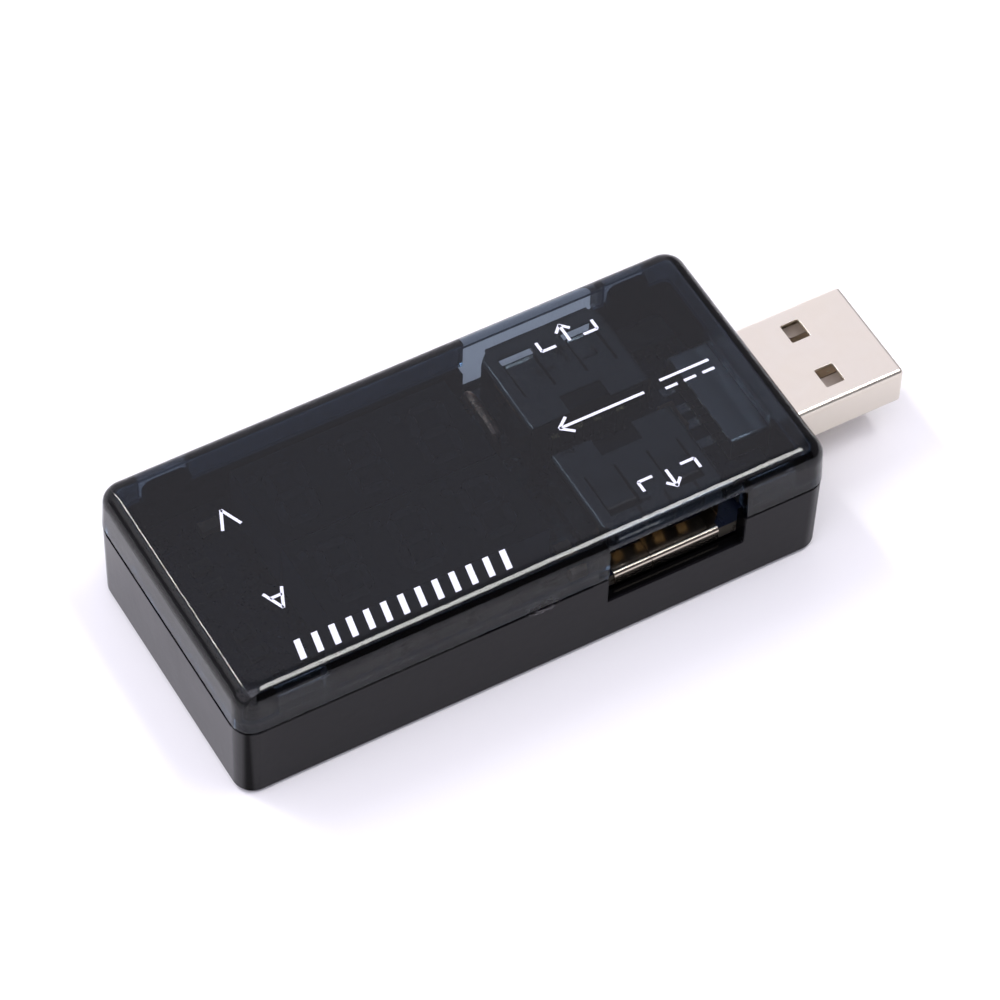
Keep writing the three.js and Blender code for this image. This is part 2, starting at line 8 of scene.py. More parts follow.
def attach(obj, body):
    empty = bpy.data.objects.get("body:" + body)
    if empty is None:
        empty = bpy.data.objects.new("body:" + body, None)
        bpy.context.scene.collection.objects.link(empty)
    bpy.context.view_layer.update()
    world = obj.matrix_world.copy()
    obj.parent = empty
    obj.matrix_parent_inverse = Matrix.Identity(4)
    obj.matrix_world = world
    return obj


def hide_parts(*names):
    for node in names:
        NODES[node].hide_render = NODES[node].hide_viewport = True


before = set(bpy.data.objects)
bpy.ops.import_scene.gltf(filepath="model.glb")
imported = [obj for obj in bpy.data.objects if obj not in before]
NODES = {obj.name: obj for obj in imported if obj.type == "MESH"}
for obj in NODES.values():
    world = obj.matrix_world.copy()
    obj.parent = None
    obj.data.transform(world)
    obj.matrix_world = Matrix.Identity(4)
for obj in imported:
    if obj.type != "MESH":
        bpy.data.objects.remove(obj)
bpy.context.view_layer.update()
scene = bpy.context.scene

# Lengths below are millimetres; meshes are scaled to metres when they are finished.
MM = 0.001
CASE_L, CASE_W, CASE_H = 61.9, 28.9, 14.6
HX, HY = CASE_L / 2, CASE_W / 2
SEAM_LOW, SEAM_HIGH = 9.3, 9.55
CORNER_R, TOP_EDGE_R, BOTTOM_EDGE_R = 2.0, 1.8, 0.65
DRAFT, PROUD, WALL, FLOOR_T = 0.10, 0.05, 1.5, 1.4
TOP_IN = 13.74                     # roof of the cover, thinner than the headers over the openings
COVER_TOP = CASE_H - 0.02          # the printing stands on this face, up to CASE_H
LIP_T, LIP_H = 0.68, 0.9
TABS_X = [(-26.8, -21.9), (22.7, 27.0)]
TAB_TOP, TAB_R = 13.2, 1.1
PORT_X, PORT_W, PORT_Z0, PORT_Z1, PORT_STEP = 14.5, 14.65, 5.8, 13.4, 0.35
PLUG_W, PLUG_H, PLUG_T, PLUG_TIP, PLUG_REAR, PLUG_Z, PLUG_R = 12.0, 4.5, 0.3, 44.45, 25.5, 6.65, 0.48
HOLE_X, HOLE_Y, HOLE_LX, HOLE_LY = 37.96, 3.1, 2.0, 2.35
SOCK_W, SOCK_Z0, SOCK_Z1, SOCK_T, SOCK_Y0, SOCK_Y1 = 13.1, 7.0, 12.72, 0.3, 1.85, 12.2
PCB_Z0, PCB_Z1 = 5.3, 6.9


# ------------------------------------------------------------------ camera
def make_camera():
    az, el, roll = (math.radians(a) for a in (-31.475, 51.9625, 2.378))
    back = Vector((math.sin(az) * math.cos(el), -math.cos(az) * math.cos(el), math.sin(el)))
    right0 = Vector((math.cos(az), math.sin(az), 0))
    up0 = back.cross(right0)
    right = math.cos(roll) * right0 + math.sin(roll) * up0
    up = -math.sin(roll) * right0 + math.cos(roll) * up0
    data = bpy.data.cameras.new("camera")
    data.sensor_width, data.lens = 36, 191.11
    data.clip_start, data.clip_end = 0.01, 50
    cam = bpy.data.objects.new("camera", data)
    scene.collection.objects.link(cam)
    place = Vector((4.710, 1.3165, 5.0)) + back * 497.28
    m = Matrix((right, up, back)).transposed().to_4x4()
    m.translation = place * MM
    cam.matrix_world = m
    scene.camera = cam


# ------------------------------------------------------------------ mesh helpers
def new_object(name, verts, faces):
    me = bpy.data.meshes.new(name)
    me.from_pydata([tuple(v) for v in verts], [], [tuple(f) for f in faces])
    me.validate()
    ob = bpy.data.objects.new(name, me)
    scene.collection.objects.link(ob)
    return ob


def rounded(hx, hy, r, n, cx=0.0, cy=0.0):
    r = max(r, 1e-4)
    pts = []
    for sx, sy, a0 in ((1, 1, 0), (-1, 1, 90), (-1, -1, 180), (1, -1, 270)):
        for i in range(n + 1):
            a = math.radians(a0 + 90 * i / n)
            pts.append((cx + sx * (hx - r) + r * math.cos(a), cy + sy * (hy - r) + r * math.sin(a)))
    return pts


def quads(rings, m, closed=False, start=0):
    faces = []
    count = len(rings)
    for k in range(count if closed else count - 1):
        a0, b0 = start + k * m, start + ((k + 1) % count) * m
        for i in range(m):
            j = (i + 1) % m
            faces.append((a0 + i, a0 + j, b0 + j, b0 + i))
    return faces


def loft(name, rings, n=12, cx=0.0, cy=0.0):
    """closed solid through stacked rounded rectangles (z, hx, hy, r), lowest first"""
    verts = []
    for z, hx, hy, r in rings:
        verts += [(x, y, z) for x, y in rounded(hx, hy, r, n, cx, cy)]
    m = 4 * (n + 1)
    faces = quads(rings, m)
    faces.append(tuple(reversed(range(m))))
    top = (len(rings) - 1) * m
    faces.append(tuple(range(top, top + m)))
    return new_object(name, verts, faces)


def box(name, x0, x1, y0, y1, z0, z1):
    v = [(x0, y0, z0), (x1, y0, z0), (x1, y1, z0), (x0, y1, z0), (x0, y0, z1), (x1, y0, z1), (x1, y1, z1), (x0, y1, z1)]
    f = [(0, 3, 2, 1), (4, 5, 6, 7), (0, 1, 5, 4), (1, 2, 6, 5), (2, 3, 7, 6), (3, 0, 4, 7)]
    return new_object(name, v, f)


def prism(name, pts, axis, a, b):
    """closed outline pushed along one axis; pts are the other two coordinates in x, y, z order"""
    def p3(p, t):
        q = list(p)
        q.insert(axis, t)
        return tuple(q)
    m = len(pts)
    verts = [p3(p, a) for p in pts] + [p3(p, b) for p in pts]
    faces = [tuple(range(m)), tuple(range(m, 2 * m))]
    faces += [(i, (i + 1) % m, m + (i + 1) % m, m + i) for i in range(m)]
    ob = new_object(name, verts, faces)
    tidy(ob, 0)
    return ob


def strip(line, t):
    left, right = [], []
    for i, p in enumerate(line):
        a, b = line[max(i - 1, 0)], line[min(i + 1, len(line) - 1)]
        dx, dy = b[0] - a[0], b[1] - a[1]
        d = math.hypot(dx, dy)
        dx, dy = dx / d, dy / d
        left.append((p[0] - dy * t / 2, p[1] + dx * t / 2))
        right.append((p[0] + dy * t / 2, p[1] - dx * t / 2))
    return right + left[::-1]


def tidy(ob, merge=1e-4):
    bm = bmesh.new()
    bm.from_mesh(ob.data)
    if merge:
        bmesh.ops.remove_doubles(bm, verts=bm.verts, dist=merge)
        bmesh.ops.dissolve_degenerate(bm, edges=bm.edges, dist=merge)
    bmesh.ops.recalc_face_normals(bm, faces=bm.faces)
    bm.to_mesh(ob.data)
    bm.free()


def cut(a, *others, how="DIFFERENCE"):
    for b in others:
        mod = a.modifiers.new("cut", "BOOLEAN")
        mod.object, mod.operation, mod.solver = b, how, "EXACT"
        dg = bpy.context.evaluated_depsgraph_get()
        me = bpy.data.meshes.new_from_object(a.evaluated_get(dg))
        a.modifiers.clear()
        old = a.data
        a.data = me
        bpy.data.meshes.remove(old)
        bpy.data.objects.remove(b)
    tidy(a)
    return a


def join(a, *others):
    return cut(a, *others, how="UNION")


def merge(name, parts):
    """several separate solids as one piece"""
    bm = bmesh.new()
    for p in parts:
        bm.from_mesh(p.data)
        bpy.data.objects.remove(p)
    me = bpy.data.meshes.new(name)
    bm.to_mesh(me)
    bm.free()
    ob = bpy.data.objects.new(name, me)
    scene.collection.objects.link(ob)
    return ob


def mirrored(ob):
    ob.data.transform(Matrix.Diagonal((1, -1, 1, 1)))
    ob.data.flip_normals()
    return ob


def finish(ob, material, body, replaces=(), sharp=32, bevel=0.0, segments=2):
    ob.data.transform(Matrix.Scale(MM, 4))
    ob.data.materials.clear()
    ob.data.materials.append(material)
    ob.data.polygons.foreach_set("use_smooth", [True] * len(ob.data.polygons))
    ob.data.set_sharp_from_angle(angle=math.radians(sharp))
    if bevel:
        b = ob.modifiers.new("edges", "BEVEL")
        b.width, b.segments, b.limit_method = bevel * MM, segments, "ANGLE"
        b.angle_limit, b.harden_normals = math.radians(40), False
        b.use_clamp_overlap = True
    w = ob.modifiers.new("normals", "WEIGHTED_NORMAL")
    w.keep_sharp, w.weight = True, 100
    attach(ob, body)
    if replaces:
        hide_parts(*replaces)
    return ob


# ------------------------------------------------------------------ material helpers
def material(name):
    m = bpy.data.materials.new(name)
    m.use_nodes = True
    m.node_tree.nodes.clear()
    return m


def add(m, kind, links=None, **props):
    """a node; links maps an input name or number to a value or to another node's output"""
    n = m.node_tree.nodes.new(kind)
    for k, v in props.items():
        setattr(n, k, v)
    for k, v in (links or {}).items():
        if isinstance(v, bpy.types.NodeSocket):
            m.node_tree.links.new(v, n.inputs[k])
        else:
            n.inputs[k].default_value = v
    return n


def place(m, scale=(1, 1, 1)):
    co = add(m, "ShaderNodeTexCoord").outputs["Object"]
    return add(m, "ShaderNodeMapping", {"Vector": co, "Scale": scale}).outputs["Vector"]


def noise(m, scale, detail=3.0, rough=0.5, vector=None, distortion=0.0):
    return add(m, "ShaderNodeTexNoise", {
        "Vector": vector if vector is not None else place(m), "Scale": scale, "Detail": detail,
        "Roughness": rough, "Distortion": distortion}).outputs["Fac"]


def ranged(m, value, a, b, lo, hi, smooth=False):
    return add(m, "ShaderNodeMapRange", {"Value": value, "From Min": a, "From Max": b, "To Min": lo, "To Max": hi},
               interpolation_type="SMOOTHSTEP" if smooth else "LINEAR", clamp=True).outputs["Result"]


def calc(m, op, a, b=None, c=None):
    links = {0: a}
    if b is not None:
        links[1] = b
    if c is not None:
        links[2] = c
    return add(m, "ShaderNodeMath", links, operation=op).outputs[0]


def blended(m, fac, a, b):
    n = add(m, "ShaderNodeMix", {"Factor": fac}, data_type="RGBA")
    for name, v in (("A", a), ("B", b)):
        socket = [s for s in n.inputs if s.name == name and s.type == "RGBA"][0]
        if isinstance(v, bpy.types.NodeSocket):
            m.node_tree.links.new(v, socket)
        else:
            socket.default_value = (*v, 1)
    return [s for s in n.outputs if s.type == "RGBA"][0]


def bump(m, height, strength, distance, normal=None):
    links = {"Height": height, "Strength": strength, "Distance": distance}
    if normal is not None:
        links["Normal"] = normal
    return add(m, "ShaderNodeBump", links).outputs["Normal"]


def surface(m, **sockets):
    links = {}
    for k, v in sockets.items():
        k = {"color": "Base Color", "rough": "Roughness", "metal": "Metallic", "normal": "Normal",
             "specular": "Specular IOR Level", "ior": "IOR", "coat": "Coat Weight", "coat_rough": "Coat Roughness",
             "transmission": "Transmission Weight", "anisotropic": "Anisotropic"}[k]
        links[k] = (*v, 1) if isinstance(v, tuple) and len(v) == 3 else v
    return add(m, "ShaderNodeBsdfPrincipled", links)


def output(m, shader, volume=None):
    out = add(m, "ShaderNodeOutputMaterial", {"Surface": shader})
    if volume is not None:
        m.node_tree.links.new(volume, out.inputs["Volume"])
    return m


def xyz(m):
    co = add(m, "ShaderNodeTexCoord").outputs["Object"]
    return add(m, "ShaderNodeSeparateXYZ", {"Vector": co}).outputs


def pry_mark(m):
    """0..1 where a blade has bruised the seam on the near side"""
    x, y, z = xyz(m)
    u = calc(m, "DIVIDE", calc(m, "SUBTRACT", x, 0.00015), 0.0019)
    v = calc(m, "DIVIDE", calc(m, "SUBTRACT", z, 0.0095), 0.00085)
    d = calc(m, "ADD", calc(m, "POWER", calc(m, "ABSOLUTE", u), 2.0), calc(m, "POWER", calc(m, "ABSOLUTE", v), 2.0))
    d = calc(m, "ADD", d, ranged(m, noise(m, 1700, 3, 0.6), 0.3, 0.7, -0.45, 0.45))
    inside = ranged(m, d, 1.1, 0.45, 0.0, 1.0, True)
    near = ranged(m, y, -0.0135, -0.0140, 0.0, 1.0)
    return calc(m, "MULTIPLY", inside, near)


# ------------------------------------------------------------------ materials
def smoked_plastic():
    m = material("smoked_plastic")
    mark = pry_mark(m)
    smudge = noise(m, 150, 3, 0.55, distortion=0.4)
    rough = calc(m, "ADD", ranged(m, smudge, 0.35, 0.75, 0.02, 0.055), ranged(m, mark, 0, 1, 0, 0.35))
    n = bump(m, noise(m, 420, 2, 0.4), 0.02, 0.0004)
    polish = ranged(m, xyz(m)[2], 0.0127, 0.0134, 1.30, 1.395, True)
    n = bump(m, noise(m, 5200, 3, 0.6), calc(m, "MULTIPLY", mark, 0.9), 0.0001, n)
    body = surface(m, color=(0.97, 0.975, 1.0), rough=rough, ior=polish, transmission=1.0, normal=n)
    clear = add(m, "ShaderNodeBsdfTransparent", {"Color": (0.30, 0.30, 0.32, 1)})
    lamp = add(m, "ShaderNodeLightPath").outputs["Is Shadow Ray"]
    mix = add(m, "ShaderNodeMixShader", {0: lamp, 1: body.outputs[0], 2: clear.outputs[0]})
    dark = add(m, "ShaderNodeVolumeAbsorption", {"Color": (0.05, 0.155, 0.255, 1), "Density": 2150.0})
    return output(m, mix.outputs[0], dark.outputs[0])


def black_plastic():
    m = material("black_plastic")
    mark = pry_mark(m)
    smudge = noise(m, 180, 3, 0.55, distortion=0.4)
    rough = calc(m, "ADD", ranged(m, smudge, 0.3, 0.75, 0.15, 0.23), ranged(m, mark, 0, 1, 0, 0.3))
    scratch = noise(m, 6000, 2, 0.5, vector=place(m, (0.25, 1, 3.5)))
    white = calc(m, "MULTIPLY", mark, ranged(m, scratch, 0.52, 0.66, 0, 1, True))
    colour = blended(m, calc(m, "MULTIPLY", white, 0.45), (0.0062, 0.0057, 0.0068), (0.36, 0.34, 0.36))
    # the outer faces are polished, the left end most; inside the openings the moulding is dull. Away from the outer
    # faces the colour is darker still, as painted shade in the openings and inside the case
    x, y, z = xyz(m)
    outer = calc(m, "MAXIMUM", ranged(m, calc(m, "ABSOLUTE", y), 0.01405, 0.0142, 0, 1), ranged(m, calc(m, "ABSOLUTE", x), 0.0302, 0.0305, 0, 1))
    colour = blended(m, outer, (0.0022, 0.0021, 0.0024), colour)
    end = ranged(m, x, -0.0305, -0.0301, 0.09, 0.0)
    low = ranged(m, z, 0.0003, 0.0009, -0.08, 0.0, True)
    end = calc(m, "ADD", end, low)
    polish = calc(m, "ADD", ranged(m, outer, 0, 1, 1.10, 1.22), end)
    n = bump(m, noise(m, 900, 3, 0.55), 0.05, 0.0002)
    n = bump(m, noise(m, 4200, 3, 0.6), calc(m, "MULTIPLY", mark, 0.9), 0.0001, n)
    return output(m, surface(m, color=colour, rough=rough, ior=polish, normal=n).outputs[0])


def nickel(name, base, lo, hi, grain=0.05, edge=1.0):
    m = material(name)
    lines = noise(m, 1500, 4, 0.6, vector=place(m, (0.06, 1, 1)))
    cloud = noise(m, 260, 3, 0.55, distortion=0.6)
    rough = ranged(m, calc(m, "ADD", calc(m, "MULTIPLY", lines, 0.4), calc(m, "MULTIPLY", cloud, 0.6)), 0.3, 0.7, lo, hi)
    colour = blended(m, ranged(m, cloud, 0.3, 0.7, 0, 1), base, tuple(c * k for c, k in zip(base, (0.965, 0.955, 0.94))))
    # edge below 1 darkens the long sides, past 5.8 mm from the middle, as painted shade
    if edge < 1.0:
        painted_side_shade = ranged(m, calc(m, "ABSOLUTE", xyz(m)[1]), 0.00580, 0.00592, 0.0, 1.0)
        colour = blended(m, painted_side_shade, colour, tuple(c * edge for c in base))
    n = bump(m, lines, grain, 0.00003)
    return output(m, surface(m, color=colour, metal=1.0, rough=rough, normal=n).outputs[0])


def plain(name, base, other, rough, scale=600, strength=0.1, metal=0.0, depth=0.00003):
    """moulded, fired or etched small parts: two tones and a fine grain"""
    m = material(name)
    f = noise(m, scale, 4, 0.6)
    colour = blended(m, ranged(m, f, 0.35, 0.65, 0, 1), base, other)
    r = ranged(m, noise(m, scale * 0.4, 3), 0.3, 0.7, rough * 0.85, rough * 1.15)
    n = bump(m, noise(m, scale * 5, 2), strength, depth)
    return output(m, surface(m, color=colour, rough=r, metal=metal, normal=n).outputs[0])


def board_blue():
    m = material("board")
    x, y, z = xyz(m)
    # copper runs under the solder mask, on a coarse grid of widths
    run = add(m, "ShaderNodeTexBrick", {"Vector": place(m, (1, 1, 0)), "Scale": 330.0, "Mortar Size": 0.012,
                                        "Brick Width": 1.6, "Row Height": 0.42, "Bias": 0.0})
    copper = ranged(m, run.outputs["Fac"], 0.0, 1.0, 1.0, 0.0)
    # both mask blues are set far darker than solder mask, as painted shade inside the case
    colour = blended(m, copper, (0.0014, 0.0024, 0.0085), (0.0022, 0.0045, 0.016))
    edge = ranged(m, calc(m, "ABSOLUTE", calc(m, "SUBTRACT", z, 0.0061)), 0.00066, 0.00076, 0.0, 1.0)
    colour = blended(m, edge, (0.085, 0.078, 0.062), colour)
    n = bump(m, copper, 0.25, 0.00003)
    return output(m, surface(m, color=colour, rough=ranged(m, noise(m, 900), 0.3, 0.7, 0.24, 0.36), normal=n).outputs[0])


def display_body():
    m = material("display_body")
    z = xyz(m)[2]
    face = ranged(m, z, 0.01298, 0.01304, 0.0, 1.0)
    f = noise(m, 900, 3)
    side = blended(m, f, (0.16, 0.165, 0.175), (0.20, 0.205, 0.22))
    colour = blended(m, face, side, (0.020, 0.020, 0.023))
    rough = ranged(m, face, 0, 1, 0.48, 0.30)
    return output(m, surface(m, color=colour, rough=rough, normal=bump(m, noise(m, 5000), 0.08, 0.00002)).outputs[0])


def ink():
    m = material("print_ink")
    f = noise(m, 2600, 4, 0.6)
    colour = blended(m, ranged(m, f, 0.3, 0.7, 0, 1), (0.80, 0.82, 0.93), (0.72, 0.74, 0.87))
    return output(m, surface(m, color=colour, rough=ranged(m, f, 0.3, 0.7, 0.36, 0.5), normal=bump(m, f, 0.1, 0.00001)).outputs[0])


# ------------------------------------------------------------------ case
def arc(n):
    return [math.pi / 2 * i / n for i in range(n + 1)]


def port_cutter(side):
    """opening through a long wall, its rim just rounded, its corners a little soft"""
    cx, cz = PORT_X, (PORT_Z0 + PORT_Z1) / 2
    hx, hz = PORT_W / 2, (PORT_Z1 - PORT_Z0) / 2
    rows = [(HY + 1, 0.09)]
    for a in arc(4):
        rows.append((HY - 0.02 - 0.09 * (1 - math.cos(math.pi / 2 - a)), 0.09 * (1 - math.sin(a))))
    rows.append((HY - WALL - 0.4, 0.0))
    n, verts = 4, []
    for y, e in rows:
        verts += [(x, side * y, z) for x, z in rounded(hx + e, hz + e, 0.22 + e, n, cx, cz)]
    m = 4 * (n + 1)
    faces = quads(rows, m) + [tuple(range(m)), tuple(range((len(rows) - 1) * m, len(rows) * m))]
    ob = new_object("cutter", verts, faces)
    tidy(ob, 0)
    return ob


def build_cover():
    rings = []
    for a in arc(3):
        rings.append((SEAM_HIGH + 0.12 * (1 - math.cos(a)), HX - 0.12 * (1 - math.sin(a)), HY - 0.12 * (1 - math.sin(a)), CORNER_R))
    for a in arc(14):
        e = TOP_EDGE_R * (1 - math.cos(a))
        rings.append((COVER_TOP - TOP_EDGE_R * (1 - math.sin(a)), HX - DRAFT - e, HY - DRAFT - e, CORNER_R - 0.5 * e))
    ob = loft("cover_shell", rings)
    inner = [(SEAM_HIGH - 2, HX - WALL + 0.15, HY - WALL + 0.15, 0.8)]
    for a in arc(4):
        e = 0.35 * (1 - math.cos(a))
        inner.append((TOP_IN - 0.35 * (1 - math.sin(a)), HX - WALL + 0.15 - e, HY - WALL + 0.15 - e, 0.8 - e))
    cavity = loft("cavity", inner, 6)
    rebate = loft("rebate", [(SEAM_HIGH - 2, HX - WALL + LIP_T + 0.17, HY - WALL + LIP_T + 0.17, 1.45),
                             (SEAM_LOW + LIP_H + 0.25, HX - WALL + LIP_T + 0.17, HY - WALL + LIP_T + 0.17, 1.45)], 8)
    cut(ob, cavity, rebate)
    tongue = box("tongue", HX - WALL + 0.05, HX - 0.1, -PLUG_W / 2 + 0.05, PLUG_W / 2 - 0.05, PLUG_Z + PLUG_H / 2 + 0.1, SEAM_HIGH + 1.2)
    join(ob, tongue)
    for s in (-1, 1):
        a, b = s * (HY - WALL - 0.18), s * (HY - 1)
        join(ob, box("header", PORT_X - PORT_W / 2 - 0.4, PORT_X + PORT_W / 2 + 0.4, min(a, b), max(a, b), PORT_Z1, TOP_IN + 0.2))
    cut(ob, port_cutter(-1), port_cutter(1))
    # shallow pockets in the long walls, one behind each locating tab
    for s in (-1, 1):
        for x0, x1 in TABS_X:
            a, b = s * (HY - WALL), s * (HY - 0.55)
            cut(ob, box("pocket", x0 - 0.15, x1 + 0.15, min(a, b), max(a, b), SEAM_LOW + LIP_H, TAB_TOP + 0.1))
    # the parting line opens a little along the left end and where it has been prised
    cut(ob, box("groove", -HX - 1, -HX + 0.42, -12.3, 12.3, SEAM_HIGH - 1, SEAM_HIGH + 0.14),
        box("groove", -6.5, 5.5, -HY - 1, -HY + 0.4, SEAM_HIGH - 1, SEAM_HIGH + 0.09))
    return ob


def build_base():
    hx, hy = HX - PROUD, HY - PROUD
    rings = []
    for a in arc(10):
        e = BOTTOM_EDGE_R * (1 - math.sin(a))
        rings.append((BOTTOM_EDGE_R * (1 - math.cos(a)), hx - DRAFT - e, hy - DRAFT - e, CORNER_R - 0.5 * e))
    for a in arc(3):
        e = 0.10 * (1 - math.cos(a))
        rings.append((SEAM_LOW - 0.10 * (1 - math.sin(a)), hx - e, hy - e, CORNER_R))
    ob = loft("base_shell", rings)
    lip = loft("lip", [(SEAM_LOW - 0.5, HX - WALL + LIP_T, HY - WALL + LIP_T, 1.3),
                       (SEAM_LOW + LIP_H, HX - WALL + LIP_T, HY - WALL + LIP_T, 1.3)], 8)
    join(ob, lip)
    cut(ob, loft("cavity", [(FLOOR_T, HX - WALL, HY - WALL, 0.8), (SEAM_LOW + LIP_H + 1, HX - WALL, HY - WALL, 0.8)], 6))
    for x, y in ((-25.4, 10.2), (-25.4, -10.2), (-3, 11.4), (-3, -11.4), (26.6, 10.2), (26.6, -10.2)):
        join(ob, loft("post", [(FLOOR_T - 0.4, 1.2, 1.2, 0.35), (PCB_Z0 - 0.03, 1.15, 1.15, 0.35)], 4, x, y))
    for x in (-14, 6.2):
        join(ob, box("rib", x - 0.5, x + 0.5, -9, 9, FLOOR_T - 0.4, PCB_Z0 - 2.1))
    join(ob, box("saddle", 28.4, 29.5, -6.6, 6.6, FLOOR_T - 0.4, PLUG_Z - PLUG_H / 2 - 0.05))
    cut(ob, box("groove", -HX - 1, -HX + 0.42, -12.3, 12.3, SEAM_LOW - 0.28, SEAM_LOW + 0.5),
        box("groove", -6.5, 5.5, -HY - 1, -HY + 0.4, SEAM_LOW - 0.10, SEAM_LOW + 0.5))
    cut(ob, box("notch", HX - WALL - 0.8, HX + 1, -PLUG_W / 2 - 0.15, PLUG_W / 2 + 0.15, PLUG_Z - PLUG_H / 2 - 0.05, 12))
    for s in (-1, 1):
        step = box("step", PORT_X - PORT_W / 2, PORT_X + PORT_W / 2, min(s * (HY - WALL - 0.3), s * (HY - 0.75)),
                   max(s * (HY - WALL - 0.3), s * (HY - 0.75)), PORT_Z0 - PORT_STEP, PORT_Z0 + 1)
        cut(ob, port_cutter(s), step)
    for s in (-1, 1):
        for x0, x1 in TABS_X:
            pts = [(x0, SEAM_LOW - 1.5), (x1, SEAM_LOW - 1.5)]
            pts += [(x1 - TAB_R + TAB_R * math.cos(a), TAB_TOP - TAB_R + TAB_R * math.sin(a)) for a in arc(8)]
            pts += [(x0 + TAB_R - TAB_R * math.cos(a), TAB_TOP - TAB_R + TAB_R * math.sin(a)) for a in reversed(arc(8))]
            a, b = HY - WALL - 0.7, HY - WALL
            join(ob, prism("tab", pts, 1, min(s * a, s * b), max(s * a, s * b)))
            join(ob, box("foot", x0, x1, min(s * a, s * (b + 0.3)), max(s * a, s * (b + 0.3)), SEAM_LOW - 1.5, SEAM_LOW + LIP_H))
        a, b = s * (HY - WALL - 0.2), s * (HY - WALL + LIP_T + 0.1)
        cut(ob, box("back", PORT_X - PORT_W / 2 - 0.8, PORT_X + PORT_W / 2 + 0.8, min(a, b), max(a, b), SEAM_LOW, 12))
    return ob


# ------------------------------------------------------------------ plug and sockets
def build_plug():
    n, m = 6, 4 * 7
    rows = []
    tip = 0.30
    rows.append((PLUG_REAR, 0.0))
    rows.append((PLUG_TIP - tip, 0.0))
    for a in arc(6)[1:]:
        rows.append((PLUG_TIP - tip + tip * math.sin(a), 0.14 * (1 - math.cos(a))))
    verts = []
    for x, e in rows:
        verts += [(x, y, z + PLUG_Z) for y, z in rounded(PLUG_W / 2 - e, PLUG_H / 2 - e, PLUG_R - e, n)]
    inner = []
    for x, e in ((PLUG_TIP - 0.02, PLUG_T - 0.04), (PLUG_TIP - 0.10, PLUG_T), (PLUG_REAR, PLUG_T)):
        inner.append((x, e))
        verts += [(x, y, z + PLUG_Z) for y, z in rounded(PLUG_W / 2 - e, PLUG_H / 2 - e, PLUG_R - e, n)]
    ob = new_object("plug_sleeve", verts, quads(rows + inner, m, closed=True))
    tidy(ob, 0)
    for y in (-HOLE_Y, HOLE_Y):
        for z in (PLUG_Z + PLUG_H / 2 - PLUG_T / 2, PLUG_Z - PLUG_H / 2 + PLUG_T / 2):
            cutter = loft("window", [(z - 0.5, HOLE_LX / 2, HOLE_LY / 2, 0.16), (z + 0.5, HOLE_LX / 2, HOLE_LY / 2, 0.16)], 4, HOLE_X, y)
            cut(ob, cutter)
    cut(ob, box("seam", PLUG_REAR - 1, PLUG_TIP + 1, -0.04, 0.04, PLUG_Z - PLUG_H / 2 - 1, PLUG_Z - PLUG_H / 2 + PLUG_T + 0.1))
    return ob


def bend(cy, cz, r, a0, a1, tail, n=8, lead=0.45):
    """centre line of a sheet edge: a short straight lead-in, an arc, then a straight tail"""
    pts = [(cy + r * math.cos(math.radians(a0 + (a1 - a0) * i / n)), cz + r * math.sin(math.radians(a0 + (a1 - a0) * i / n)))
           for i in range(n + 1)]
    d = 1 if a1 > a0 else -1
    t0 = (-math.sin(math.radians(a0)) * d, math.cos(math.radians(a0)) * d)
    t1 = (-math.sin(math.radians(a1)) * d, math.cos(math.radians(a1)) * d)
    pts.insert(0, (pts[0][0] - t0[0] * lead, pts[0][1] - t0[1] * lead))
    pts.append((pts[-1][0] + t1[0] * tail, pts[-1][1] + t1[1] * tail))
    return pts


